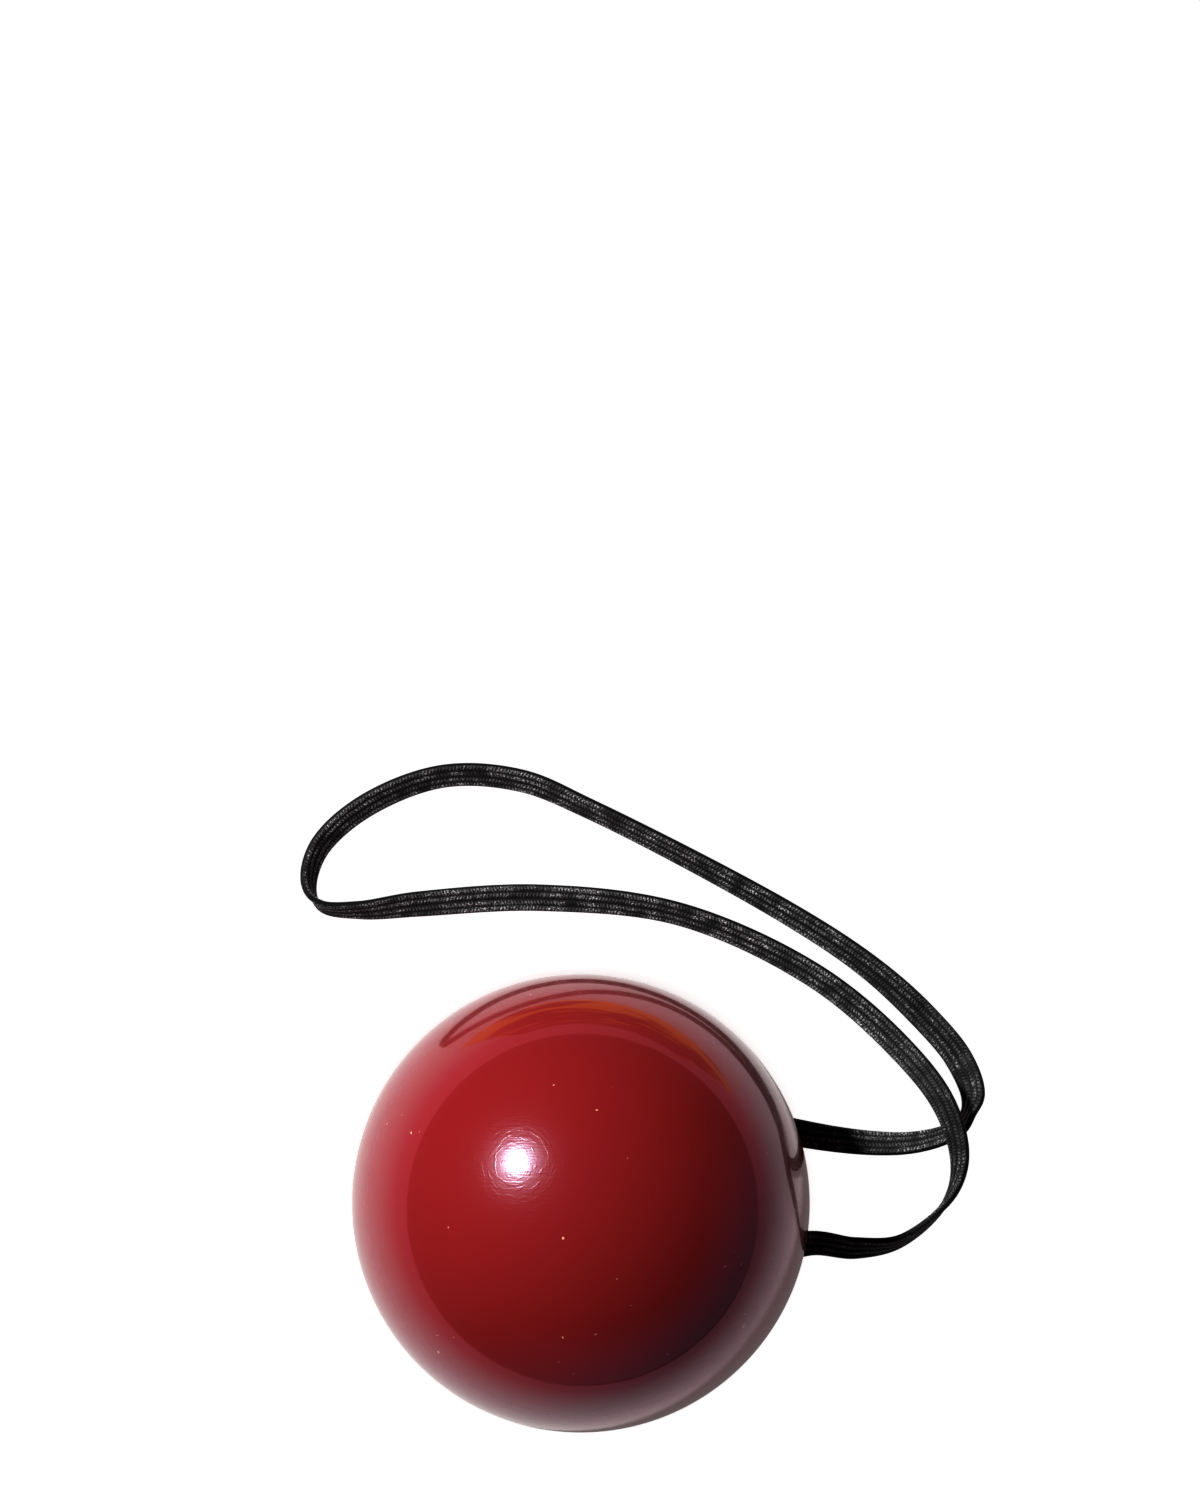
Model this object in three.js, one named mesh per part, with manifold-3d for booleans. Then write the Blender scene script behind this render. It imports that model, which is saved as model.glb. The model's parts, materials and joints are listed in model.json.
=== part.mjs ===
// Clown nose: a hollow ball of hard red plastic, open at the back, on a loop of flat black elastic.
// Millimetres, +Z up. The ball rests on its back rim, with its front up. The origin is on the floor
// under the ball's centre, and +X is the side where both runs of the elastic leave the ball.
import * as THREE from "three";
import { mergeVertices } from "three/addons/utils/BufferGeometryUtils.js";
import Module from "manifold-3d";

// Ball: a sphere cut off by the rim plane z = 0
const BALL_R = 26;
const WALL = 1.7;
const CENTRE_Z = 13; // height of the ball's centre above the rim plane
const BALL_SEGMENTS = 48;
const OUTER_RINGS = 16;
const INNER_RINGS = 12;

// Arch in the rim for the bridge of the nose, an ellipse centred on the rim plane
const ARCH_HALF_WIDTH = 11.5;
const ARCH_HEIGHT = 4.5;

// Lugs inside the ball, on opposite sides, each with a slot for one end of the strap
const LUG_WIDTH = 8;
const LUG_BOTTOM_Z = 4.2;
const LUG_THICKNESS = 1.8;
const LUG_CORNER_R = 2;
const LUG_MARGIN = 1.1; // left beyond the slot's inner end
const SLOT_R = 18.6; // distance of the slot's middle from the ball's axis
const SLOT_LENGTH = 4.6;
const SLOT_WIDTH = 2;

// Strap: flat elastic, and the knot that stops each end above its lug
const STRAP_WIDTH = 3.2;
const STRAP_THICKNESS = 0.8;
const STRAP_CHAMFER = 0.2;
const STRAP_STEPS = 80;
const STRAP_RISE = 0.1; // how far the strap's ends stand above the lugs, below the knots
const STRAP_TOP_Z = LUG_BOTTOM_Z + LUG_THICKNESS + STRAP_RISE;
const KNOT_LENGTH = 5.2; // across the slot's short way
const KNOT_WIDTH = 5;
const KNOT_HEIGHT = 3.8;
const KNOT_GAP = 0.3;

// Route of the strap's centre line. Roll is the lift of its right-hand edge, in degrees: 0 lies flat,
// 90 stands with that edge on top, and past 90 the other face is up.
const STRAP_ROUTE = [
  // Down through the first slot, and out under the arch
  { x: -0.15, y: SLOT_R, z: STRAP_TOP_Z, roll: 0 },
  { x: -0.1, y: SLOT_R, z: LUG_BOTTOM_Z, roll: 0 },
  { x: 0.2, y: SLOT_R, z: 2.3, roll: 0 },
  { x: 1.7, y: 18.5, z: 0.8, roll: 0 },
  { x: 8, y: 16.4, z: 0.5, roll: 0 },
  { x: 14.6, y: 10.6, z: 0.8, roll: 10 },
  { x: 26.5, y: 7.2, z: 1.4, roll: 36 },
  // Under the other run, and sharply round to the left
  { x: 38, y: 6.4, z: 1.7, roll: 56 },
  { x: 43.3, y: 8.1, z: 1.8, roll: 68 },
  { x: 44.5, y: 9.9, z: 1.8, roll: 72 },
  { x: 45, y: 11.9, z: 1.6, roll: 48 },
  // Outer run of the loop
  { x: 43.4, y: 16, z: 1.3, roll: 28 },
  { x: 39.8, y: 20.4, z: 1.3, roll: 26 },
  { x: 33.4, y: 26.3, z: 1.5, roll: 42 },
  { x: 23.8, y: 32.7, z: 1.6, roll: 50 },
  { x: 1, y: 44.7, z: 1.7, roll: 59 },
  { x: -7.1, y: 48, z: 1.6, roll: 52 },
  { x: -16.2, y: 48.4, z: 1.6, roll: 51 },
  { x: -25.3, y: 44.7, z: 1.6, roll: 50 },
  { x: -30.2, y: 40, z: 1.7, roll: 57 },
  // Left bend, where the strap stands on edge and turns its other face up
  { x: -31.2, y: 35.8, z: 1.8, roll: 74 },
  { x: -29.8, y: 33.6, z: 1.8, roll: 100 },
  { x: -25.5, y: 33.1, z: 1.7, roll: 116 },
  // Inner run of the loop
  { x: -18.5, y: 33.8, z: 1.5, roll: 138 },
  { x: -4.7, y: 34.5, z: 1.4, roll: 144 },
  { x: 11.4, y: 32.6, z: 1.6, roll: 130 },
  { x: 26.9, y: 25.5, z: 1.7, roll: 135 },
  // In a low hump over the first run
  { x: 36.9, y: 17, z: 3, roll: 140 },
  { x: 41.7, y: 10.6, z: 5.7, roll: 132 },
  { x: 43.3, y: 4.6, z: 5.2, roll: 116 },
  // On edge round the last bend, and back to the ball
  { x: 41.7, y: -0.6, z: 2.8, roll: 90 },
  { x: 36.6, y: -4.9, z: 1.9, roll: 74 },
  { x: 31.5, y: -5.7, z: 1.7, roll: 53 },
  { x: 26, y: -5.2, z: 1.5, roll: 42 },
  // In under the arch, and up through the second slot
  { x: 15.4, y: -9, z: 0.8, roll: 10 },
  { x: 8, y: -16.4, z: 0.5, roll: 0 },
  { x: 1.7, y: -18.5, z: 0.8, roll: 0 },
  { x: 0.2, y: -SLOT_R, z: 2.3, roll: 0 },
  { x: -0.1, y: -SLOT_R, z: LUG_BOTTOM_Z, roll: 0 },
  { x: -0.15, y: -SLOT_R, z: STRAP_TOP_Z, roll: 0 },
];

// Materials
const redPlastic = new THREE.MeshStandardMaterial({
  color: 0x96121a,
  roughness: 0.08,
  metalness: 0,
});
const blackElastic = new THREE.MeshStandardMaterial({
  color: 0x0b0b0c,
  roughness: 0.8,
  metalness: 0,
});

const wasm = await Module();
wasm.setup();

// A geometry as a solid that can be cut and joined.
function solidOf(geometry) {
  const bare = geometry.clone();
  bare.deleteAttribute("normal");
  bare.deleteAttribute("uv");
  const merged = mergeVertices(bare, 1e-4);
  return new wasm.Manifold(
    new wasm.Mesh({
      numProp: 3,
      vertProperties: merged.attributes.position.array,
      triVerts: new Uint32Array(merged.index.array),
    }),
  );
}

// A solid back as a geometry with flat faces.
function geometryOf(solid) {
  const cut = solid.getMesh();
  const indexed = new THREE.BufferGeometry();
  indexed.setAttribute("position", new THREE.BufferAttribute(cut.vertProperties, 3));
  indexed.setIndex(new THREE.BufferAttribute(cut.triVerts, 1));
  const geometry = indexed.toNonIndexed();
  geometry.computeVertexNormals();
  return geometry;
}

// Points of an arc about the ball's centre, from the front pole to the rim plane.
function domeArc(radius, rings) {
  const endAngle = Math.acos(-CENTRE_Z / radius);
  return Array.from({ length: rings + 1 }, (_, i) => {
    const angle = (endAngle * i) / rings;
    const x = i === 0 ? 0 : radius * Math.sin(angle);
    const y = i === rings ? 0 : CENTRE_Z + radius * Math.cos(angle);
    return new THREE.Vector2(x, y);
  });
}

function ballShell() {
  const outer = domeArc(BALL_R, OUTER_RINGS);
  const inner = domeArc(BALL_R - WALL, INNER_RINGS);
  const profile = [...inner, ...outer.reverse()];
  return new THREE.LatheGeometry(profile, BALL_SEGMENTS).rotateX(Math.PI / 2);
}

// The arch's ellipse, pushed through the rim along +X.
function archCutter() {
  const outline = new THREE.Shape();
  outline.absellipse(0, 0, ARCH_HALF_WIDTH, ARCH_HEIGHT, 0, 2 * Math.PI);
  const cutter = new THREE.ExtrudeGeometry(outline, {
    depth: BALL_R,
    bevelEnabled: false,
    curveSegments: 16,
  });
  const across = new THREE.Matrix4().makeBasis(
    new THREE.Vector3(0, 1, 0),
    new THREE.Vector3(0, 0, 1),
    new THREE.Vector3(1, 0, 0),
  );
  return cutter.applyMatrix4(across);
}

// A plate from the middle of the wall inwards along +Y, with its two free corners rounded.
function lug() {
  const half = LUG_WIDTH / 2;
  const belowCentre = CENTRE_Z - LUG_BOTTOM_Z - LUG_THICKNESS / 2;
  const toR = Math.sqrt((BALL_R - WALL / 2) ** 2 - belowCentre ** 2);
  const cornerY = SLOT_R - SLOT_LENGTH / 2 - LUG_MARGIN + LUG_CORNER_R;
  const outline = new THREE.Shape();
  outline.moveTo(half, toR);
  outline.lineTo(-half, toR);
  outline.lineTo(-half, cornerY);
  outline.absarc(-half + LUG_CORNER_R, cornerY, LUG_CORNER_R, Math.PI, 1.5 * Math.PI);
  outline.absarc(half - LUG_CORNER_R, cornerY, LUG_CORNER_R, 1.5 * Math.PI, 2 * Math.PI);
  outline.closePath();
  const plate = new THREE.ExtrudeGeometry(outline, {
    depth: LUG_THICKNESS,
    bevelEnabled: false,
    curveSegments: 4,
  });
  return plate.translate(0, 0, LUG_BOTTOM_Z);
}

// A round-ended slot through the lug, its long way pointing at the ball's axis.
function slotCutter() {
  const end = SLOT_WIDTH / 2;
  const reach = SLOT_LENGTH / 2 - end;
  const outline = new THREE.Shape();
  outline.absarc(0, SLOT_R + reach, end, 0, Math.PI);
  outline.absarc(0, SLOT_R - reach, end, Math.PI, 2 * Math.PI);
  outline.closePath();
  const cutter = new THREE.ExtrudeGeometry(outline, {
    depth: 3 * LUG_THICKNESS,
    bevelEnabled: false,
    curveSegments: 5,
  });
  return cutter.translate(0, 0, LUG_BOTTOM_Z - LUG_THICKNESS);
}

function noseBall() {
  let solid = solidOf(ballShell());
  for (const side of [0, Math.PI]) {
    solid = solid.add(solidOf(lug().rotateZ(side)));
    solid = solid.subtract(solidOf(slotCutter().rotateZ(side)));
  }
  solid = solid.subtract(solidOf(archCutter()));
  const mesh = new THREE.Mesh(geometryOf(solid), redPlastic);
  mesh.name = "nose_ball";
  return mesh;
}

// The strap's centre line, whose frames turn its width by the route's roll.
class StrapPath extends THREE.CatmullRomCurve3 {
  constructor(route) {
    super(
      route.map(({ x, y, z }) => new THREE.Vector3(x, y, z)),
      false,
      "centripetal",
    );
    this.rolls = route.map(({ roll }) => THREE.MathUtils.degToRad(roll));
    this.arcLengthDivisions = 10 * route.length;
  }

  rollAt(share) {
    const place = this.getUtoTmapping(share) * (this.rolls.length - 1);
    const before = Math.min(Math.floor(place), this.rolls.length - 2);
    return THREE.MathUtils.lerp(
      this.rolls[before],
      this.rolls[before + 1],
      place - before,
    );
  }

  computeFrenetFrames(steps) {
    const frames = { tangents: [], normals: [], binormals: [] };
    const up = new THREE.Vector3(0, 0, 1);
    for (let i = 0; i <= steps; i++) {
      const tangent = this.getTangentAt(i / steps);
      const flat = new THREE.Vector3().crossVectors(tangent, up).normalize();
      const width = flat.applyAxisAngle(tangent, -this.rollAt(i / steps));
      frames.tangents.push(tangent);
      frames.normals.push(width);
      frames.binormals.push(new THREE.Vector3().crossVectors(tangent, width));
    }
    return frames;
  }
}

// The strap's cross-section: x is its width and y its thickness.
function strapSection() {
  const halfWidth = STRAP_WIDTH / 2;
  const halfThickness = STRAP_THICKNESS / 2;
  const corners = [
    [1, 1],
    [-1, 1],
    [-1, -1],
    [1, -1],
  ];
  const points = corners.flatMap(([sx, sy]) => {
    const onSide = new THREE.Vector2(sx * halfWidth, sy * (halfThickness - STRAP_CHAMFER));
    const onFace = new THREE.Vector2(sx * (halfWidth - STRAP_CHAMFER), sy * halfThickness);
    return sx * sy > 0 ? [onSide, onFace] : [onFace, onSide];
  });
  return new THREE.Shape(points);
}

function elasticStrap() {
  const geometry = new THREE.ExtrudeGeometry(strapSection(), {
    steps: STRAP_STEPS,
    bevelEnabled: false,
    extrudePath: new StrapPath(STRAP_ROUTE),
  });
  const mesh = new THREE.Mesh(geometry, blackElastic);
  mesh.name = "elastic_strap";
  return mesh;
}

function strapKnot(number, side) {
  const geometry = new THREE.SphereGeometry(1, 16, 10);
  geometry.scale(KNOT_LENGTH / 2, KNOT_WIDTH / 2, KNOT_HEIGHT / 2);
  const mesh = new THREE.Mesh(geometry, blackElastic);
  mesh.name = `strap_knot_${number}`;
  mesh.position.set(0, side * SLOT_R, STRAP_TOP_Z + KNOT_GAP + KNOT_HEIGHT / 2);
  return mesh;
}

const clownNose = new THREE.Group();
clownNose.name = "clown_nose";
clownNose.add(noseBall(), elasticStrap(), strapKnot(1, 1), strapKnot(2, -1));

export default clownNose;
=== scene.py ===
"""Clown nose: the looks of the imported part, a glossy red ball on a loop of flat black elastic.

Metres, +Z up. The ball rests on its back rim with its front up, and the camera looks straight down.
"""

import json
import math

import bpy
import numpy as np
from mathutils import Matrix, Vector

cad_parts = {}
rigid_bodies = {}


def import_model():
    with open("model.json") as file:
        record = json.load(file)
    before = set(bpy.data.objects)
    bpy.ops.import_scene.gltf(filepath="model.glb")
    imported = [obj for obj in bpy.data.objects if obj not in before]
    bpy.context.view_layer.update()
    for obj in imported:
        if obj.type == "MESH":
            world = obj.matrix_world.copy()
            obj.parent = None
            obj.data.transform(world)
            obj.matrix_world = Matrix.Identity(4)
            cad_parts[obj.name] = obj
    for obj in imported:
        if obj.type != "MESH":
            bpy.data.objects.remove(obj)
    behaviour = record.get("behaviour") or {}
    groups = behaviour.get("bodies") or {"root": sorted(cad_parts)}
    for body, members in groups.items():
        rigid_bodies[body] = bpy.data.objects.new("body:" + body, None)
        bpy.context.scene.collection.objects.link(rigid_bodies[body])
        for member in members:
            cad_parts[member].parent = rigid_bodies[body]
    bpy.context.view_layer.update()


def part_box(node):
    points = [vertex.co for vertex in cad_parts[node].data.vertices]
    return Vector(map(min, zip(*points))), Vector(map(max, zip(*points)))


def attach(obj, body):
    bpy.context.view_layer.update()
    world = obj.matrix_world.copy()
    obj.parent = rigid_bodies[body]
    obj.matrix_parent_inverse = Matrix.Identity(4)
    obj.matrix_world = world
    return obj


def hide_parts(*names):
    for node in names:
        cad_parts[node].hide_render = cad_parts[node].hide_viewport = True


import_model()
ball_low, ball_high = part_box("nose_ball")

# Ball, whose radius and centre come from the frame
BALL_R = (ball_high.x - ball_low.x) / 2
CENTRE_Z = ball_high.z - BALL_R
WALL = 0.0017
ARCH_HALF_WIDTH = 0.0115
ARCH_HEIGHT = 0.0045
FOOT_R = 0.0008  # rounding where the arch meets the rim
EDGE_R = 0.00035  # rounding of the rim's two edges

# Lugs inside the ball
LUG_WIDTH = 0.008
LUG_BOTTOM_Z = 0.0042
LUG_THICKNESS = 0.0018
LUG_CORNER_R = 0.002
LUG_MARGIN = 0.0011
LUG_EDGE_R = 0.0003
SLOT_R = 0.0186
SLOT_LENGTH = 0.0046
SLOT_WIDTH = 0.002

# Strap and knots
STRAP_WIDTH = 0.0032
STRAP_THICKNESS = 0.0008
STRAP_LENGTH = 0.298
STRAP_TOP_Z = LUG_BOTTOM_Z + LUG_THICKNESS + 0.0001

# Route of the strap's centre line. Roll is the lift of its right-hand edge, in degrees.
# Columns: x, y, z, roll
STRAP_ROUTE = [
    (-0.00015, SLOT_R, STRAP_TOP_Z, 0),
    (-0.0001, SLOT_R, LUG_BOTTOM_Z, 0),
    (0.0002, SLOT_R, 0.0023, 0),
    (0.0017, 0.0185, 0.0008, 0),
    (0.008, 0.0164, 0.0005, 0),
    (0.0146, 0.0106, 0.0008, 10),
    (0.0265, 0.0072, 0.0014, 36),
    (0.038, 0.0064, 0.0017, 56),
    (0.0433, 0.0081, 0.0018, 68),
    (0.0445, 0.0099, 0.0018, 72),
    (0.045, 0.0119, 0.0016, 48),
    (0.0434, 0.016, 0.0013, 28),
    (0.0398, 0.0204, 0.0013, 26),
    (0.0334, 0.0263, 0.0015, 42),
    (0.0238, 0.0327, 0.0016, 50),
    (0.001, 0.0447, 0.0017, 59),
    (-0.0071, 0.048, 0.0016, 52),
    (-0.0162, 0.0484, 0.0016, 51),
    (-0.0253, 0.0447, 0.0016, 50),
    (-0.0302, 0.04, 0.0017, 57),
    (-0.0312, 0.0358, 0.0018, 74),
    (-0.0298, 0.0336, 0.0018, 100),
    (-0.0255, 0.0331, 0.0017, 116),
    (-0.0185, 0.0338, 0.0015, 138),
    (-0.0047, 0.0345, 0.0014, 144),
    (0.0114, 0.0326, 0.0016, 130),
    (0.0269, 0.0255, 0.0017, 135),
    (0.0369, 0.017, 0.003, 140),
    (0.0417, 0.0106, 0.0057, 132),
    (0.0433, 0.0046, 0.0052, 116),
    (0.0417, -0.0006, 0.0028, 90),
    (0.0366, -0.0049, 0.0019, 74),
    (0.0315, -0.0057, 0.0017, 53),
    (0.026, -0.0052, 0.0015, 42),
    (0.0154, -0.009, 0.0008, 10),
    (0.008, -0.0164, 0.0005, 0),
    (0.0017, -0.0185, 0.0008, 0),
    (0.0002, -SLOT_R, 0.0023, 0),
    (-0.0001, -SLOT_R, LUG_BOTTOM_Z, 0),
    (-0.00015, -SLOT_R, STRAP_TOP_Z, 0),
]

# Camera, straight above the middle of the photograph's frame
CAMERA_HEIGHT = 1.1
CAMERA_X = 0.00218
CAMERA_Y = 0.05153
FRAME_HEIGHT = 0.1703  # what the frame's long side shows at the height of the ball's centre
SENSOR = 36.0


def add_camera():
    data = bpy.data.cameras.new("camera")
    data.sensor_width = SENSOR
    data.sensor_fit = "AUTO"
    data.lens = SENSOR * (CAMERA_HEIGHT - CENTRE_Z) / FRAME_HEIGHT
    data.clip_start = 0.01
    data.clip_end = 100
    camera = bpy.data.objects.new("camera", data)
    bpy.context.scene.collection.objects.link(camera)
    camera.location = (CAMERA_X, CAMERA_Y, CAMERA_HEIGHT)
    bpy.context.scene.camera = camera


def mesh_object(name, vertices, faces):
    """A new smooth-shaded mesh object in the scene."""
    mesh = bpy.data.meshes.new(name)
    mesh.from_pydata([tuple(v) for v in vertices], [], faces)
    mesh.validate()
    mesh.shade_smooth()
    piece = bpy.data.objects.new(name, mesh)
    bpy.context.scene.collection.objects.link(piece)
    return piece


def grid_faces(rows, columns, closed_rows=False, closed_columns=True):
    """Quads of a grid of vertices kept row by row."""
    row_count = rows if closed_rows else rows - 1
    column_count = columns if closed_columns else columns - 1
    faces = []
    for i in range(row_count):
        for j in range(column_count):
            a = i * columns + j
            b = i * columns + (j + 1) % columns
            c = ((i + 1) % rows) * columns + (j + 1) % columns
            d = ((i + 1) % rows) * columns + j
            faces.append((a, d, c, b))
    return faces


# Strap

PLACE_NAME = "strap_place"
STRAP_STEP = 0.00025  # distance between rings
STRAP_RIBS = 4
RIB_DEPTH = 0.00009
FACE_POINTS = 26  # points across each face of the strap
EDGE_POWER = 9  # the higher, the squarer the strap's edges
INTO_KNOT = 0.0006  # how far each end reaches on into its knot
CURVE_SAMPLES = 200  # between two points of the route
ROLL_SAMPLES = 400


def catmull_rom(points, spacing):
    """A centripetal Catmull-Rom curve through the points, at an even spacing by its first three columns."""
    p = np.array(points, float)
    p = np.vstack([2 * p[0] - p[1], p, 2 * p[-1] - p[-2]])
    samples = []
    for i in range(1, len(p) - 2):
        steps = [np.linalg.norm((p[i + k + 1] - p[i + k])[:3]) ** 0.5 for k in (-1, 0, 1)]
        d0, d1, d2 = steps
        start = (p[i] - p[i - 1]) / d0 - (p[i + 1] - p[i - 1]) / (d0 + d1) + (p[i + 1] - p[i]) / d1
        end = (p[i + 1] - p[i]) / d1 - (p[i + 2] - p[i]) / (d1 + d2) + (p[i + 2] - p[i + 1]) / d2
        start, end = start * d1, end * d1
        for t in np.linspace(0, 1, CURVE_SAMPLES, endpoint=False):
            a = 2 * p[i] - 2 * p[i + 1] + start + end
            b = -3 * p[i] + 3 * p[i + 1] - 2 * start - end
            samples.append(((a * t + b) * t + start) * t + p[i])
    samples.append(p[-2])
    fine = np.array(samples)
    along = np.concatenate([[0], np.cumsum(np.linalg.norm(np.diff(fine[:, :3], axis=0), axis=1))])
    count = round(along[-1] / spacing)
    even = np.linspace(0, along[-1], count + 1)
    return np.stack([np.interp(even, along, fine[:, k]) for k in range(fine.shape[1])], axis=1), even


def seen_width(section, roll):
    """How wide a section looks from above at each roll, in radians."""
    across = section[:, 0] * STRAP_WIDTH / 2
    thick = section[:, 1] * STRAP_THICKNESS / 2
    return 2 * (np.outer(np.cos(roll), across) + np.outer(np.sin(roll), thick)).max(axis=1)


def eased_roll(roll):
    """The roll at which the rounded strap looks as wide from above as its plain solid does at this one,
    and how much lower its centre then rests."""
    turn = np.minimum(roll, math.pi - roll)
    plain = STRAP_WIDTH * np.cos(turn) + STRAP_THICKNESS * np.sin(turn)
    tried = np.linspace(math.pi / 2, 0, ROLL_SAMPLES)
    widths = np.maximum.accumulate(seen_width(strap_section(), tried))
    eased = np.minimum(np.interp(plain, widths, tried), turn)
    drop = STRAP_WIDTH * (np.sin(turn) - np.sin(eased)) + STRAP_THICKNESS * (np.cos(turn) - np.cos(eased))
    return np.where(roll > math.pi / 2, math.pi - eased, eased), np.maximum(drop / 2, 0)


def strap_frames(route):
    """Centres, places along, width directions and thickness directions of the strap."""
    ends = [
        (*np.add(route[0][:3], (0, 0, INTO_KNOT)), route[0][3]),
        (*np.add(route[-1][:3], (0, 0, INTO_KNOT)), route[-1][3]),
    ]
    line, along = catmull_rom([ends[0], *route, ends[1]], STRAP_STEP)
    centre = line[:, :3]
    roll, drop = eased_roll(np.radians(np.clip(line[:, 3], 0, 180)))
    centre[:, 2] -= drop
    tangent = np.gradient(centre, along, axis=0)
    tangent /= np.linalg.norm(tangent, axis=1)[:, None]
    flat = np.cross(tangent, (0, 0, 1))
    flat /= np.linalg.norm(flat, axis=1)[:, None]
    turn = -roll[:, None]
    width = flat * np.cos(turn) + np.cross(tangent, flat) * np.sin(turn)
    return centre, along, width, np.cross(tangent, width)


def strap_section():
    """Points round the ribbed cross-section, as shares of the half width and of the half thickness."""
    share = np.linspace(-1, 1, FACE_POINTS)
    across = np.sin(share * math.pi / 2) * 0.5 + share * 0.5
    crest = np.cos(across * STRAP_RIBS * math.pi / 2 + (STRAP_RIBS % 2 + 1) * math.pi / 2) ** 2
    rounded = (1 - np.abs(across) ** EDGE_POWER) ** 0.5
    height = rounded * (1 - 2 * RIB_DEPTH / STRAP_THICKNESS * (1 - crest) ** 3)
    top = np.stack([across, height], axis=1)
    bottom = np.stack([across, -height], axis=1)[::-1][1:-1]
    return np.vstack([top, bottom])


def mark_places(piece, along, across, height):
    """Tell the elastic's material where each point lies along, across and through it. Across and height are
    shares of the half width and of the half thickness."""
    values = np.zeros((len(along), len(across), 3))
    values[:, :, 0] = along[:, None]
    values[:, :, 1] = across[None, :] * STRAP_WIDTH / 2
    values[:, :, 2] = height[None, :] * STRAP_THICKNESS / 2
    places = piece.data.attributes.new(PLACE_NAME, "FLOAT_VECTOR", "POINT")
    places.data.foreach_set("vector", values.astype(np.float32).ravel())


def add_strap(material):
    centre, along, width, thick = strap_frames(STRAP_ROUTE)
    section = strap_section()
    rings = (
        centre[:, None, :]
        + width[:, None, :] * (section[None, :, 0:1] * STRAP_WIDTH / 2)
        + thick[:, None, :] * (section[None, :, 1:2] * STRAP_THICKNESS / 2)
    )
    points = len(section)
    count = len(centre)
    faces = grid_faces(count, points)
    faces.append(tuple(range(points)))
    faces.append(tuple(range((count - 1) * points, count * points))[::-1])
    strap = mesh_object("flat_elastic", rings.reshape(-1, 3), faces)
    mark_places(strap, along, section[:, 0], section[:, 1])
    strap.data.materials.append(material)
    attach(strap, "root")
    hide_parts("elastic_strap")


# Knots

KNOT_STRAND_WIDTH = 0.0009  # half the width of the tightened strand
KNOT_STRAND_THICKNESS = 0.00055
KNOT_RISE = 1.6
KNOT_STEPS = 160
KNOT_POINTS = 16


def add_knot(number, material):
    """An overhand knot pulled tight, inside the box of its solid."""
    low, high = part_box(f"strap_knot_{number}")
    middle = np.array((low + high) / 2)
    half = np.array((high - low) / 2)
    t = np.linspace(0, 2 * math.pi, KNOT_STEPS, endpoint=False)
    trefoil = np.stack(
        [np.sin(t) + 2 * np.sin(2 * t), np.cos(t) - 2 * np.cos(2 * t), -KNOT_RISE * np.sin(3 * t)], axis=1
    )
    room = half - KNOT_STRAND_WIDTH
    room[2] = half[2] - KNOT_STRAND_THICKNESS
    line = trefoil / np.abs(trefoil).max(axis=0) * room
    tangent = np.roll(line, -1, axis=0) - np.roll(line, 1, axis=0)
    tangent /= np.linalg.norm(tangent, axis=1)[:, None]
    out = line / np.linalg.norm(line, axis=1)[:, None]
    side = np.cross(tangent, out)
    side /= np.linalg.norm(side, axis=1)[:, None]
    out = np.cross(side, tangent)
    angle = np.linspace(0, 2 * math.pi, KNOT_POINTS, endpoint=False)
    rings = (
        (middle + line)[:, None, :]
        + side[:, None, :] * (np.cos(angle)[None, :, None] * KNOT_STRAND_WIDTH)
        + out[:, None, :] * (np.sin(angle)[None, :, None] * KNOT_STRAND_THICKNESS)
    )
    knot = mesh_object(f"tied_knot_{number}", rings.reshape(-1, 3), grid_faces(KNOT_STEPS, KNOT_POINTS, True))
    mark_places(knot, t * half[0] * 2, np.cos(angle), np.sin(angle))
    knot.data.materials.append(material)
    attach(knot, "root")
    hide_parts(f"strap_knot_{number}")
    return knot


# Ball

ARCH_STATIONS = 72
FOOT_STATIONS = 8
RIM_STATIONS = 168
UPPER_ROWS = 40
LOWER_ROWS = 24
EDGE_ROWS = 4
LUG_POINTS = 96
ARCH_SAMPLES = 2000  # where the foot's rounding is fitted
HALVINGS = 40
TINY = 1e-9
BEND = 1 - math.sqrt(0.5)  # share of a corner's inset that its rounding's middle takes


def foot_centre():
    """How far from the arch's middle the centre of the foot's rounding lies, touching rim and ellipse."""
    u = np.linspace(0, math.pi / 2, ARCH_SAMPLES)
    ellipse = np.stack([ARCH_HALF_WIDTH * np.sin(u), ARCH_HEIGHT * np.cos(u)], axis=1)
    low, high = ARCH_HALF_WIDTH, ARCH_HALF_WIDTH + 2 * FOOT_R
    for _ in range(HALVINGS):
        middle = (low + high) / 2
        nearest = np.linalg.norm(ellipse - (middle, FOOT_R), axis=1).min()
        low, high = (middle, high) if nearest < FOOT_R else (low, middle)
    touch = ellipse[np.linalg.norm(ellipse - (high, FOOT_R), axis=1).argmin()]
    return high, touch


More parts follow.
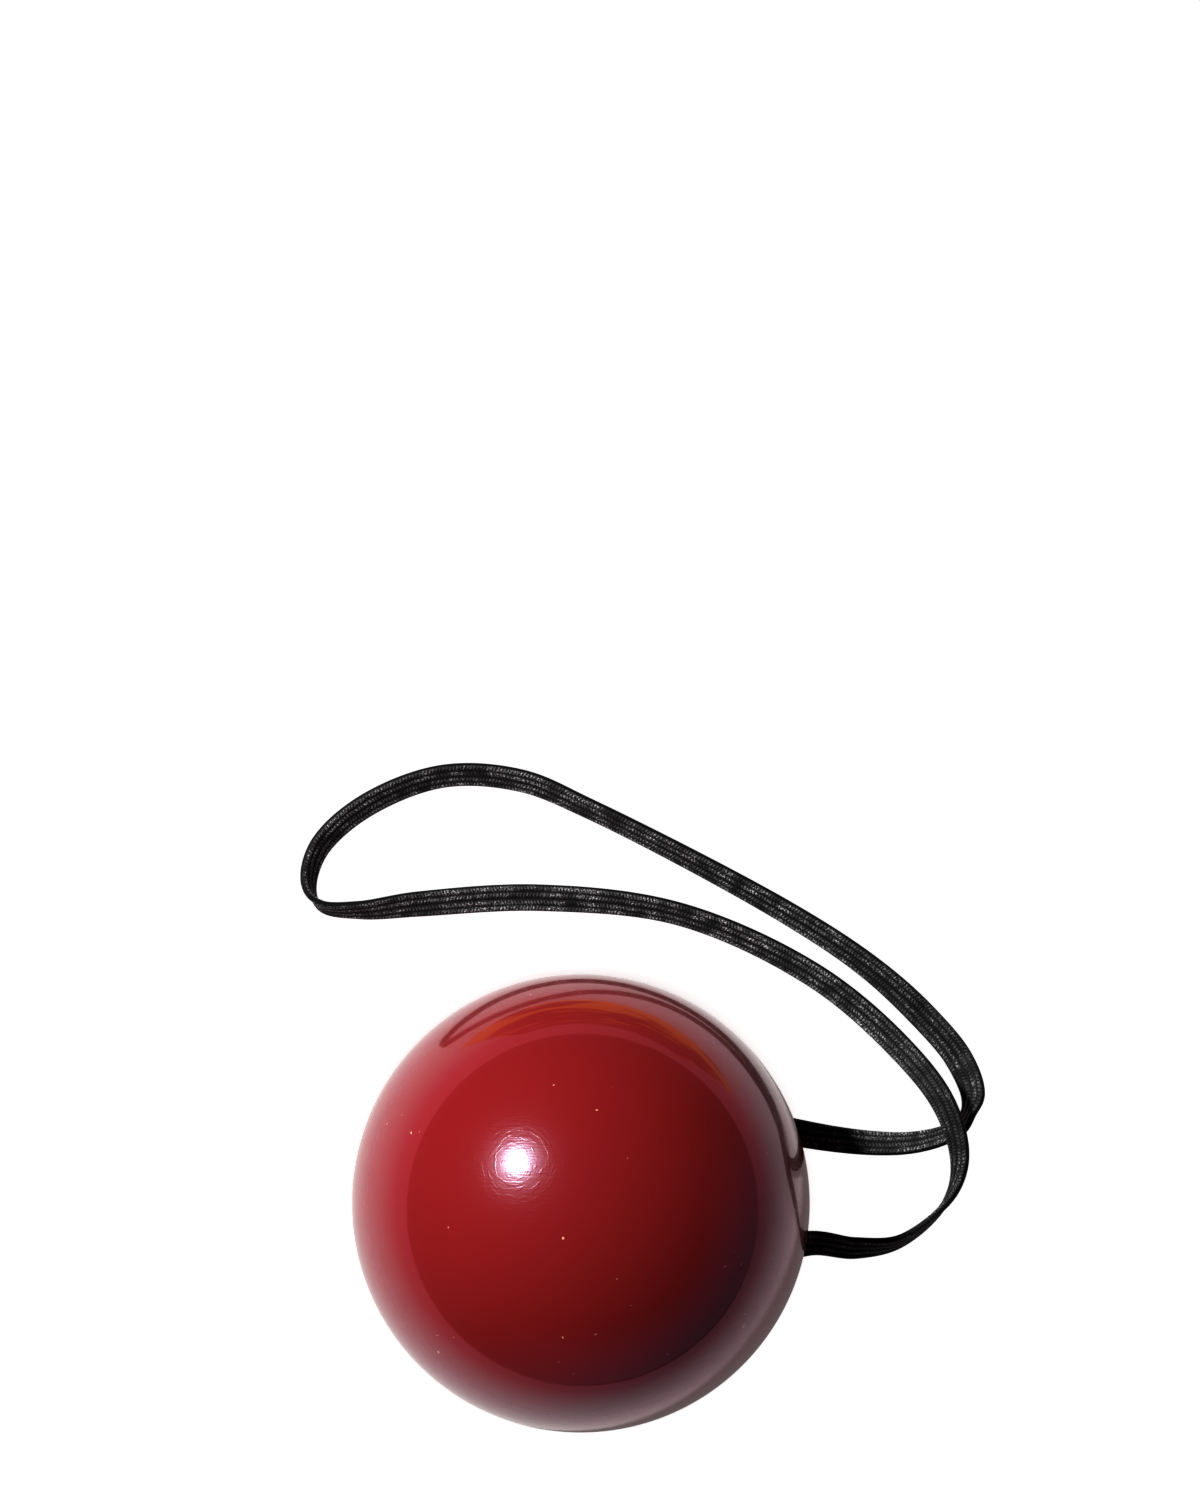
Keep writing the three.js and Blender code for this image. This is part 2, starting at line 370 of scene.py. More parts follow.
def rim_corner(radius):
    """The rim's edge on a sphere of that radius: once round from the arch's +Y foot, by way of -X,
    and back through the arch from -Y to +Y."""
    foot_y, touch = foot_centre()
    rim_radius = math.sqrt(radius**2 - CENTRE_Z**2)
    start = math.asin(foot_y / rim_radius)
    turn = np.linspace(start, 2 * math.pi - start, RIM_STATIONS + 1)
    plain = np.stack([rim_radius * np.cos(turn), rim_radius * np.sin(turn), 0 * turn], axis=1)
    end = math.atan2(touch[1] - FOOT_R, touch[0] - foot_y) % (2 * math.pi)
    bend = np.linspace(1.5 * math.pi, end, FOOT_STATIONS + 1)[1:-1]
    foot = np.stack([foot_y + FOOT_R * np.cos(bend), FOOT_R + FOOT_R * np.sin(bend)], axis=1)
    top = math.asin(touch[0] / ARCH_HALF_WIDTH)
    u = np.linspace(top, -top, ARCH_STATIONS + 1)
    arch = np.stack([ARCH_HALF_WIDTH * np.sin(u), ARCH_HEIGHT * np.cos(u)], axis=1)
    outline = np.vstack([foot, arch, (foot * (-1, 1))[::-1]]) * (-1, 1)
    x = np.sqrt(radius**2 - outline[:, 0] ** 2 - (outline[:, 1] - CENTRE_Z) ** 2)
    return np.vstack([plain, np.column_stack([x, outline])])


def on_sphere(points, radius):
    """Points moved straight out or in to a sphere about the ball's centre."""
    centre = np.array((0, 0, CENTRE_Z))
    from_centre = points - centre
    return centre + from_centre / np.linalg.norm(from_centre, axis=1)[:, None] * radius


def edge_inset(corner, radius):
    """The rim's edge moved a little way into the wall's surface."""
    centre = np.array((0, 0, CENTRE_Z))
    along = np.roll(corner, -1, axis=0) - np.roll(corner, 1, axis=0)
    along /= np.linalg.norm(along, axis=1)[:, None]
    normal = (corner - centre) / radius
    into = np.cross(along, normal)
    into /= np.linalg.norm(into, axis=1)[:, None]
    into *= np.sign(into[0, 2])
    return on_sphere(corner + into * EDGE_R, radius)


def dome_rows(edge, radius, upper_rows, lower_rows):
    """Rings of a dome from just below its pole down to an uneven edge."""
    count = len(edge)
    edge_turn = np.unwrap(np.arctan2(edge[:, 1], edge[:, 0]))
    edge_angle = np.arccos(np.clip((edge[:, 2] - CENTRE_Z) / radius, -1, 1))
    even_turn = edge_turn[0] + np.arange(count) * (2 * math.pi / count)
    even_turn += (edge_turn - even_turn).mean()
    rings = []
    for i in range(1, upper_rows + lower_rows + 1):
        if i <= upper_rows:
            angle = np.full(count, math.pi / 2 * i / upper_rows)
            turn = even_turn
        else:
            share = (i - upper_rows) / lower_rows
            angle = math.pi / 2 + (edge_angle - math.pi / 2) * share
            ease = share * share * (3 - 2 * share)
            turn = even_turn + (edge_turn - even_turn) * ease
        rings.append(
            np.stack(
                [
                    radius * np.sin(angle) * np.cos(turn),
                    radius * np.sin(angle) * np.sin(turn),
                    CENTRE_Z + radius * np.cos(angle),
                ],
                axis=1,
            )
        )
    return rings


def bent_rows(start, corner, end):
    """Rows that round a corner, between two insets of it."""
    rows = []
    for t in np.linspace(0, 1, EDGE_ROWS + 1)[1:]:
        rows.append(start * (1 - t) ** 2 + corner * 2 * t * (1 - t) + end * t**2)
    return rows


def shell_mesh():
    """Vertices, faces and exact normals of the ball's wall."""
    inner_r = BALL_R - WALL
    outer, inner = rim_corner(BALL_R), rim_corner(inner_r)
    across = (inner - outer) / np.linalg.norm(inner - outer, axis=1)[:, None]
    outer_edge, inner_edge = edge_inset(outer, BALL_R), edge_inset(inner, inner_r)
    rim_outer, rim_inner = outer + across * EDGE_R, inner - across * EDGE_R
    outside = dome_rows(outer_edge, BALL_R, UPPER_ROWS, LOWER_ROWS)
    inside = dome_rows(inner_edge, inner_r, UPPER_ROWS // 2, LOWER_ROWS // 2)
    rim = bent_rows(outside[-1], outer, rim_outer) + [(rim_outer + rim_inner) / 2, rim_inner]
    rim += bent_rows(rim_inner, inner, inside[-1])[:-1]
    rows = outside + rim + inside[::-1]
    count = len(outer)
    faces = grid_faces(len(rows), count)
    vertices = np.vstack(rows)
    poles = np.array([(0, 0, CENTRE_Z + BALL_R), (0, 0, CENTRE_Z + inner_r)])
    top, bottom = len(vertices), len(vertices) + 1
    last = (len(rows) - 1) * count
    faces += [(top, j, (j + 1) % count) for j in range(count)]
    faces += [(bottom, last + (j + 1) % count, last + j) for j in range(count)]
    normals = np.zeros_like(vertices)
    radial = (vertices - (0, 0, CENTRE_Z)) / np.linalg.norm(vertices - (0, 0, CENTRE_Z), axis=1)[:, None]
    outside_count = (len(outside) - 1) * count
    inside_from = (len(outside) + len(rim) + 1) * count
    normals[:outside_count] = radial[:outside_count]
    normals[inside_from:] = -radial[inside_from:]
    normals = np.vstack([normals, (0, 0, 1), (0, 0, -1)])
    return np.vstack([vertices, poles]), faces, normals


def lug_loop(half_width, near_r, far_r, corner_r):
    """A loop round a lug or its slot, seen from above with the ball's axis below, at even turns."""
    half_length = (far_r - near_r) / 2
    middle = (far_r + near_r) / 2
    loop = []
    for k in range(LUG_POINTS):
        angle = 2 * math.pi * k / LUG_POINTS
        dx, dy = math.cos(angle), math.sin(angle)
        cx, cy = half_width - corner_r, half_length - corner_r
        reach = math.inf
        if abs(dx) > TINY:
            reach = min(reach, half_width / abs(dx))
        if abs(dy) > TINY:
            reach = min(reach, half_length / abs(dy))
        x, y = dx * reach, dy * reach
        if abs(x) > cx and abs(y) > cy and corner_r > 0:
            sx, sy = math.copysign(cx, x), math.copysign(cy, y)
            b = dx * sx + dy * sy
            c = sx * sx + sy * sy - corner_r**2
            reach = b + math.sqrt(max(b * b - c, 0))
            x, y = dx * reach, dy * reach
        loop.append((x, middle + y))
    return np.array(loop)


def lug_mesh(side):
    """Vertices and faces of one lug with its slot, with rounded edges. Side is 1 at +Y and -1 at -Y."""
    near = SLOT_R - SLOT_LENGTH / 2 - LUG_MARGIN
    below_centre = CENTRE_Z - LUG_BOTTOM_Z - LUG_THICKNESS / 2
    far = math.sqrt((BALL_R - WALL / 2) ** 2 - below_centre**2)
    outline = lug_loop(LUG_WIDTH / 2, near, far, LUG_CORNER_R)
    inset_r = LUG_CORNER_R - LUG_EDGE_R
    inset = lug_loop(LUG_WIDTH / 2 - LUG_EDGE_R, near + LUG_EDGE_R, far - LUG_EDGE_R, inset_r)
    slot_near, slot_far = SLOT_R - SLOT_LENGTH / 2, SLOT_R + SLOT_LENGTH / 2
    slot = lug_loop(SLOT_WIDTH / 2, slot_near, slot_far, SLOT_WIDTH / 2)
    wide_r = SLOT_WIDTH / 2 + LUG_EDGE_R
    wide = lug_loop(wide_r, slot_near - LUG_EDGE_R, slot_far + LUG_EDGE_R, wide_r)
    slot[:, 1] += SLOT_R - slot[:, 1].mean()
    low, high = LUG_BOTTOM_Z, LUG_BOTTOM_Z + LUG_THICKNESS
    bend = BEND * LUG_EDGE_R
    outer_bend = outline + (inset - outline) * BEND
    slot_bend = slot + (wide - slot) * BEND
    profile = [
        (outline, low + LUG_EDGE_R),
        (outer_bend, low + bend),
        (inset, low),
        (wide, low),
        (slot_bend, low + bend),
        (slot, low + LUG_EDGE_R),
        (slot, high - LUG_EDGE_R),
        (slot_bend, high - bend),
        (wide, high),
        (inset, high),
        (outer_bend, high - bend),
        (outline, high - LUG_EDGE_R),
    ]
    rows = [np.column_stack([loop, np.full(LUG_POINTS, z)]) for loop, z in profile]
    vertices = np.vstack(rows) * (side, side, 1)
    return vertices, grid_faces(len(rows), LUG_POINTS, True)


def add_ball(material):
    vertices, faces, normals = shell_mesh()
    for side in (1, -1):
        more, more_faces = lug_mesh(side)
        faces += [tuple(i + len(vertices) for i in face) for face in more_faces]
        vertices = np.vstack([vertices, more])
        normals = np.vstack([normals, np.zeros_like(more)])
    ball = mesh_object("glossy_ball", vertices, faces)
    ball.data.normals_split_custom_set_from_vertices(normals.tolist())
    ball.data.materials.append(material)
    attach(ball, "root")
    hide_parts("nose_ball")


# Materials

RUB_CENTRE = (-0.0071, 0.0058, 0.0373)  # a spot on the ball with fine curved scratches round it
RUB_R = 0.0066  # how far from it they reach
SCRATCH_RATE = 1050.0  # how fast they change with the distance from that spot
SCRATCH_TURN = 2.0  # and round it
SCRATCH_DEPTH = 1.7  # as a share of the fine rub marks' depth
RED_DEEP = (0.31, 0.028, 0.030, 1)
RED_PALE = (0.325, 0.031, 0.034, 1)
DUST_COLOR = (0.85, 0.5, 0.36, 1)
CLOUD_SCALE = 60.0
DUST_SCALE = 900.0
DUST_PATCH_SCALE = 130.0
WAVE_SCALE = 110.0
WAVE_DEPTH = 0.000012
RUB_TURNS = (0.5, 1.6, 2.7)
RUB_TILT = (0.3, 0.2)
RUB_STRETCH = 9.0
RUB_SCALE = 420.0
RUB_DEPTH = 0.0000026
YARN_DARK = (0.016, 0.016, 0.017, 1)
# The pale yarn colour and the speck colour are partly the knit's own threads and fibres, partly painted
# highlight and glints.
YARN_LIT = (0.35, 0.35, 0.36, 1)
FIBRE_AND_GLINT_COLOR = (0.7, 0.7, 0.7, 1)
EDGE_COLOR = (0.005, 0.005, 0.005, 1)
GRAIN_SCALE = 6200.0
PATCH_SCALE = 500.0
YARN_DEPTH = 0.00006
DARKER_SPAN = (0.046, 0.053)  # from the first to the second distance from an end, the yarn turns darker
LIGHTER_SPAN = (0.066, 0.085)  # and here it turns lighter again
STITCH_PITCH = 0.00038  # length of one stitch along the strap
STITCH_SLANT = 1.9  # how far round its stitch a thread leans across one rib
SEAM_R = 0.0005  # half the width of the dark line along the strap's middle


class NodeGraph:
    """A material's node tree, with short calls to add and join nodes."""

    def __init__(self, name):
        self.material = bpy.data.materials.new(name)
        self.material.use_nodes = True
        self.tree = self.material.node_tree
        self.tree.nodes.clear()
        self.output = self.tree.nodes.new("ShaderNodeOutputMaterial")

    def node(self, kind, settings=None, **inputs):
        made = self.tree.nodes.new(kind)
        for name, value in (settings or {}).items():
            setattr(made, name, value)
        for name, value in inputs.items():
            self.put(made.inputs[name.replace("_", " ")], value)
        return made

    def put(self, socket, value):
        if isinstance(value, bpy.types.NodeSocket):
            self.tree.links.new(value, socket)
        else:
            socket.default_value = value

    def math(self, operation, a, b=0.0):
        made = self.node("ShaderNodeMath", {"operation": operation})
        self.put(made.inputs[0], a)
        self.put(made.inputs[1], b)
        return made.outputs[0]

    def noise(self, place, scale, detail):
        made = self.node("ShaderNodeTexNoise", Vector=place, Scale=scale, Detail=detail)
        return made.outputs["Fac"]

    def ramp(self, factor, low, high):
        """0 below low, 1 above high, and smooth between."""
        made = self.node("ShaderNodeMapRange", {"interpolation_type": "SMOOTHSTEP"})
        self.put(made.inputs["Value"], factor)
        self.put(made.inputs["From Min"], low)
        self.put(made.inputs["From Max"], high)
        return made.outputs["Result"]

    def mix(self, factor, a, b):
        made = self.node("ShaderNodeMix", {"data_type": "RGBA"})
        self.put(made.inputs["Factor"], factor)
        self.put(made.inputs[6], a)
        self.put(made.inputs[7], b)
        return made.outputs[2]


def scratches(graph, place):
    """Height of short curved scratches round the rubbed spot."""
    offset = graph.node("ShaderNodeVectorMath", {"operation": "SUBTRACT"}, Vector=place)
    offset.inputs[1].default_value = RUB_CENTRE
    offset = offset.outputs["Vector"]
    away = graph.node("ShaderNodeVectorMath", {"operation": "LENGTH"}, Vector=offset).outputs["Value"]
    heading = graph.node("ShaderNodeVectorMath", {"operation": "NORMALIZE"}, Vector=offset)
    rings = graph.node(
        "ShaderNodeTexNoise",
        {"noise_dimensions": "4D"},
        Vector=heading.outputs["Vector"],
        W=graph.math("MULTIPLY", away, SCRATCH_RATE),
        Scale=SCRATCH_TURN,
        Detail=1.0,
    )
    sparse = graph.ramp(rings.outputs["Fac"], 0.5, 0.62)
    fading = graph.ramp(away, RUB_R, 0.6 * RUB_R)
    starting = graph.ramp(away, 0.0, 0.4 * RUB_R)
    return graph.math("MULTIPLY", sparse, graph.math("MULTIPLY", fading, starting))


def red_plastic():
    graph = NodeGraph("red_plastic")
    place = graph.node("ShaderNodeTexCoord").outputs["Object"]
    color = graph.mix(graph.noise(place, CLOUD_SCALE, 3.0), RED_DEEP, RED_PALE)
    fine = graph.noise(place, DUST_SCALE, 1.0)
    sparse = graph.noise(place, DUST_PATCH_SCALE, 0.0)
    dust = graph.math("MULTIPLY", graph.ramp(fine, 0.76, 0.8), graph.ramp(sparse, 0.5, 0.6))
    color = graph.mix(dust, color, DUST_COLOR)
    shader = graph.node("ShaderNodeBsdfPrincipled")
    graph.put(shader.inputs["Base Color"], color)
    shader.inputs["Roughness"].default_value = 0.255
    shader.inputs["Specular IOR Level"].default_value = 0.4
    shader.inputs["Specular Tint"].default_value = (0.66, 0.8, 1.0, 1)
    shader.inputs["IOR"].default_value = 1.5
    shader.inputs["Coat Weight"].default_value = 1.0
    shader.inputs["Coat Roughness"].default_value = 0.018
    waves = graph.noise(place, WAVE_SCALE, 1.0)
    bump = graph.node("ShaderNodeBump", Strength=1.0, Distance=WAVE_DEPTH, Height=waves).outputs["Normal"]
    graph.put(shader.inputs["Coat Normal"], bump)
    rubs = 0.0
    for turn in RUB_TURNS:
        turned = graph.node("ShaderNodeMapping", Vector=place)
        turned.inputs["Rotation"].default_value = (*RUB_TILT, turn)
        turned.inputs["Scale"].default_value = (1.0, RUB_STRETCH, 1.0)
        rub = graph.noise(turned.outputs["Vector"], RUB_SCALE, 2.0)
        rubs = graph.math("ADD", rubs, graph.ramp(rub, 0.5, 0.75))
    rubs = graph.math("ADD", rubs, graph.math("MULTIPLY", scratches(graph, place), SCRATCH_DEPTH))
    scratched = graph.node("ShaderNodeBump", Strength=1.0, Distance=RUB_DEPTH, Height=rubs, Normal=bump)
    graph.put(shader.inputs["Normal"], scratched.outputs["Normal"])
    graph.put(graph.output.inputs["Surface"], shader.outputs["BSDF"])
    return graph.material


def black_elastic():
    graph = NodeGraph("black_elastic")
    place = graph.node("ShaderNodeAttribute", {"attribute_name": PLACE_NAME}).outputs["Vector"]
    apart = graph.node("ShaderNodeSeparateXYZ", Vector=place)
    along, across = apart.outputs["X"], apart.outputs["Y"]
    ribs = graph.math("MULTIPLY", graph.math("ADD", across, STRAP_WIDTH / 2), STRAP_RIBS / STRAP_WIDTH)
    within = graph.math("FRACT", ribs)
    odd = graph.math("MODULO", graph.math("FLOOR", ribs), 2.0)
    lean = graph.math("SUBTRACT", graph.math("MULTIPLY", odd, 2.0), 1.0)
    slant = graph.math("MULTIPLY", graph.math("MULTIPLY", within, lean), STITCH_SLANT)
    phase = graph.math("ADD", graph.math("MULTIPLY", along, math.pi / STITCH_PITCH), slant)
    thread = graph.math("POWER", graph.math("ABSOLUTE", graph.math("SINE", phase)), 1.5)
    crest = graph.math("SINE", graph.math("MULTIPLY", within, math.pi))
    knit = graph.math("MULTIPLY", thread, graph.math("POWER", crest, 1.5))
    grain = graph.noise(place, GRAIN_SCALE, 2.0)
    patches = graph.noise(place, PATCH_SCALE, 2.0)
    from_middle = graph.math("ABSOLUTE", across)
    seam = graph.math("ADD", graph.math("MULTIPLY", graph.ramp(from_middle, 0, SEAM_R), 0.85), 0.15)
    # The knit pattern is paler on each rib's crest: partly the yarn's threads, partly a painted highlight
    # where the crests meet the light.
    lit = graph.math("MULTIPLY", knit, graph.ramp(grain, 0.3, 0.65))
    lit = graph.math("MULTIPLY", lit, graph.ramp(patches, 0.2, 0.62))
    lit = graph.math("MULTIPLY", lit, seam)
    # Specks along the crests: pale fibres and painted glints.
    specks = graph.math("MULTIPLY", graph.ramp(grain, 0.56, 0.68), graph.ramp(patches, 0.42, 0.62))
    specks = graph.math("MULTIPLY", graph.math("MULTIPLY", specks, crest), seam)
    # The yarn's brightness along the strap: darker in a span some way from each end, lighter beyond it.
    from_end = graph.math("MINIMUM", along, graph.math("SUBTRACT", STRAP_LENGTH, along))
    lightening = graph.math("MULTIPLY", graph.ramp(from_end, *LIGHTER_SPAN), 0.7)
    darkening = graph.math("MULTIPLY", graph.ramp(from_end, *DARKER_SPAN), 0.4)
    tone_along = graph.math("SUBTRACT", graph.math("ADD", lightening, 1.0), darkening)
    lit = graph.math("MULTIPLY", lit, tone_along)
    specks = graph.math("MULTIPLY", specks, tone_along)
    edge = graph.ramp(from_middle, STRAP_WIDTH * 0.49, STRAP_WIDTH * 0.45)
    color = graph.mix(lit, YARN_DARK, YARN_LIT)
    color = graph.mix(specks, color, FIBRE_AND_GLINT_COLOR)
    color = graph.mix(edge, EDGE_COLOR, color)
    shader = graph.node("ShaderNodeBsdfPrincipled")
    graph.put(shader.inputs["Base Color"], color)
    shader.inputs["Roughness"].default_value = 0.62
    shader.inputs["Specular IOR Level"].default_value = 0.35
    shader.inputs["Sheen Weight"].default_value = 0.08
    shader.inputs["Sheen Roughness"].default_value = 0.4
    height = graph.math("ADD", knit, graph.math("MULTIPLY", grain, 0.5))
    bump = graph.node("ShaderNodeBump", Strength=1.0, Distance=YARN_DEPTH, Height=height).outputs["Normal"]
    graph.put(shader.inputs["Normal"], bump)
    graph.put(graph.output.inputs["Surface"], shader.outputs["BSDF"])
    return graph.material


# Studio

KEY_DIRECTION = (-0.516, 0.371, 0.772)  # from the ball towards the light
KEY_DISTANCE = 0.9
KEY_SIZE = 0.118
KEY_POWER = 13.0
FILL_STRENGTH = 0.02
SOFT_HEIGHT = 1.2
SOFT_SIZE = 1.5
SOFT_POWER = 3.2
TABLE_CENTRE = (-0.03, 0.05)
TABLE_R = 0.215
UNDER_R = 0.024  # within this the mirrored table is dim, a painted shade near the ball
NEAR_R = 0.05  # here it is white, in a painted pool of light
FAR_R = 0.13  # and beyond this it is mauve
TABLE_MATT = ((0.28, 0.1, 0.14, 1), (0.4, 0.34, 0.36, 1), (0.48, 0.46, 0.45, 1))  # far, near, under
TABLE_GLOW = ((0.62, 0.28, 0.36, 1), (0.56, 0.48, 0.51, 1), (0.24, 0.24, 0.24, 1))
FLOOR_R = 4.0
FLOOR_Z = -0.00002  # the surfaces lie a little apart, so that none flickers through another
WARM_Z = -0.00004
TABLE_Z = -0.00006
BOUNCE_Z = -0.00008
BOUNCE = 0.6
FLOOR_MATT = 0.8
FLOOR_GLOW = 0.93
# The floor's glow in its painted shadow beneath the ball.
SHADED_GLOW = 0.16
WARM_LOW = (-0.045, 0.056)
WARM_HIGH = (0.085, 0.13)
WARM_DEEP = (0.34, 0.04, 0.05, 1)
WARM_BRIGHT = (1.5, 0.62, 0.12, 1)
WARM_NEAR = (0.058, 0.085)  # the streaks are dense at the first Y and sparse at the second
WARM_STRETCH = 5.0
WARM_SCALE = 28.0
WALL_R = 1.2
WALL_LOW = -0.2
WALL_HIGH = 0.75
WALL_TURNS = (-0.75 * math.pi, 0.25 * math.pi)
WALL_POINTS = 41
WALL_COLOR = (0.3, 0.2, 0.32, 1)
UNDER_DEPTH = 0.25
UNDER_SIZE = 0.4
UNDER_POWER = 0.3
GAMMA = 0.63


def add_key_light():
    data = bpy.data.lights.new("key", "AREA")
    data.shape = "DISK"
    data.size = KEY_SIZE
    data.energy = KEY_POWER
    light = bpy.data.objects.new("key", data)
    bpy.context.scene.collection.objects.link(light)
    direction = np.array(KEY_DIRECTION) / np.linalg.norm(KEY_DIRECTION)
    place = np.array((0, 0, CENTRE_Z)) + direction * KEY_DISTANCE
    light.location = place.tolist()
    light.rotation_mode = "QUATERNION"
    light.rotation_quaternion = Vector((-direction).tolist()).to_track_quat("-Z", "Y")
    light.visible_camera = False
    return light


def add_world():
    world = bpy.data.worlds.new("studio")
    bpy.context.scene.world = world
    world.use_nodes = True
    nodes, links = world.node_tree.nodes, world.node_tree.links
    nodes.clear()
    output = nodes.new("ShaderNodeOutputWorld")
    fill = nodes.new("ShaderNodeBackground")
    fill.inputs["Strength"].default_value = FILL_STRENGTH
    fill.inputs["Color"].default_value = (1, 1, 1, 1)
    shown = nodes.new("ShaderNodeBackground")
    shown.inputs["Strength"].default_value = 1.0
    shown.inputs["Color"].default_value = (1, 1, 1, 1)
    path = nodes.new("ShaderNodeLightPath")
    mixed = nodes.new("ShaderNodeMixShader")
    links.new(path.outputs["Is Camera Ray"], mixed.inputs["Fac"])
    links.new(fill.outputs["Background"], mixed.inputs[1])
    links.new(shown.outputs["Background"], mixed.inputs[2])
    links.new(mixed.outputs["Shader"], output.inputs["Surface"])


def disc(name, centre, radius, z, points=128):
    ring = [
        (
            centre[0] + radius * math.cos(2 * math.pi * k / points),
            centre[1] + radius * math.sin(2 * math.pi * k / points),
            z,
        )
        for k in range(points)
    ]
    return mesh_object(name, ring, [tuple(range(points))])


def emissive(name, diffuse, glow, one_sided=False):
    """A matt surface with some light of its own, unseen from below if it is one-sided. Each of diffuse
    and glow is a colour, or a function that makes one in the graph."""
    graph = NodeGraph(name)
    matt = graph.node("ShaderNodeBsdfDiffuse", Color=diffuse(graph) if callable(diffuse) else diffuse)
    light = graph.node("ShaderNodeEmission", Color=glow(graph) if callable(glow) else glow)
    both = graph.node("ShaderNodeAddShader")
    graph.put(both.inputs[0], matt.outputs["BSDF"])
    graph.put(both.inputs[1], light.outputs["Emission"])
    shown = both.outputs["Shader"]
    if one_sided:
        clear = graph.node("ShaderNodeBsdfTransparent")
        sided = graph.node("ShaderNodeMixShader")
        graph.put(sided.inputs["Fac"], graph.node("ShaderNodeNewGeometry").outputs["Backfacing"])
        graph.put(sided.inputs[1], shown)
        graph.put(sided.inputs[2], clear.outputs["BSDF"])
        shown = sided.outputs["Shader"]
    graph.put(graph.output.inputs["Surface"], shown)
    return graph.material


def grey(value):
    return (value, value, value, 1)


def far_to_near(far, near, under):
    """A colour that changes with the distance from the ball: the painted light and shade of the table that
    the ball mirrors.
    """

    def make(graph):
        place = graph.node("ShaderNodeTexCoord").outputs["Object"]
        away = graph.node("ShaderNodeVectorMath", {"operation": "LENGTH"}, Vector=place).outputs["Value"]
        close = graph.mix(graph.ramp(away, UNDER_R, NEAR_R), under, near)
        return graph.mix(graph.ramp(away, NEAR_R, FAR_R), close, far)

    return make


def shaded_under(graph):
    """The floor's glow, with a painted shadow: dim beneath the ball and in a narrow ring where the ball
    overhangs it.
    """
    place = graph.node("ShaderNodeTexCoord").outputs["Object"]
    away = graph.node("ShaderNodeVectorMath", {"operation": "LENGTH"}, Vector=place).outputs["Value"]
    open_floor = graph.ramp(away, 0.8 * BALL_R, 1.06 * BALL_R)
    return graph.mix(open_floor, grey(SHADED_GLOW), grey(FLOOR_GLOW))


def warm_glow(graph):
    """A deep red with orange streaks, most of them along its near side: a painted reflection, on a card that
    glows and is seen only in the ball's mirror.
    """
    place = graph.node("ShaderNodeTexCoord").outputs["Object"]
    near = graph.ramp(graph.node("ShaderNodeSeparateXYZ", Vector=place).outputs["Y"], *WARM_NEAR[::-1])
    stretched = graph.node("ShaderNodeMapping", Vector=place)
    stretched.inputs["Scale"].default_value = (1.0, WARM_STRETCH, 1.0)
    streaks = graph.noise(stretched.outputs["Vector"], WARM_SCALE, 3.0)
    share = graph.math("ADD", graph.math("MULTIPLY", near, 0.2), streaks)
    return graph.mix(graph.ramp(share, 0.55, 0.66), WARM_DEEP, WARM_BRIGHT)


def wall_glow(graph):
    """A dim mauve that fades upwards and towards both ends of the wall: a painted reflection, as the wall
    glows and is seen only in the ball's mirror.
    """
    apart = graph.node("ShaderNodeSeparateXYZ", Vector=graph.node("ShaderNodeTexCoord").outputs["Object"])
    low = graph.ramp(apart.outputs["Z"], WALL_HIGH, 0.0)
    side = graph.math("SUBTRACT", apart.outputs["X"], apart.outputs["Y"])
    middle = graph.ramp(side, 0.1 * WALL_R, 1.3 * WALL_R)
    return graph.mix(graph.math("MULTIPLY", low, middle), grey(0), WALL_COLOR)


def only_mirrored(thing):
    """The ball mirrors the thing, which is otherwise unseen and casts nothing."""
    thing.visible_camera = False
    thing.visible_diffuse = False
    thing.visible_shadow = False


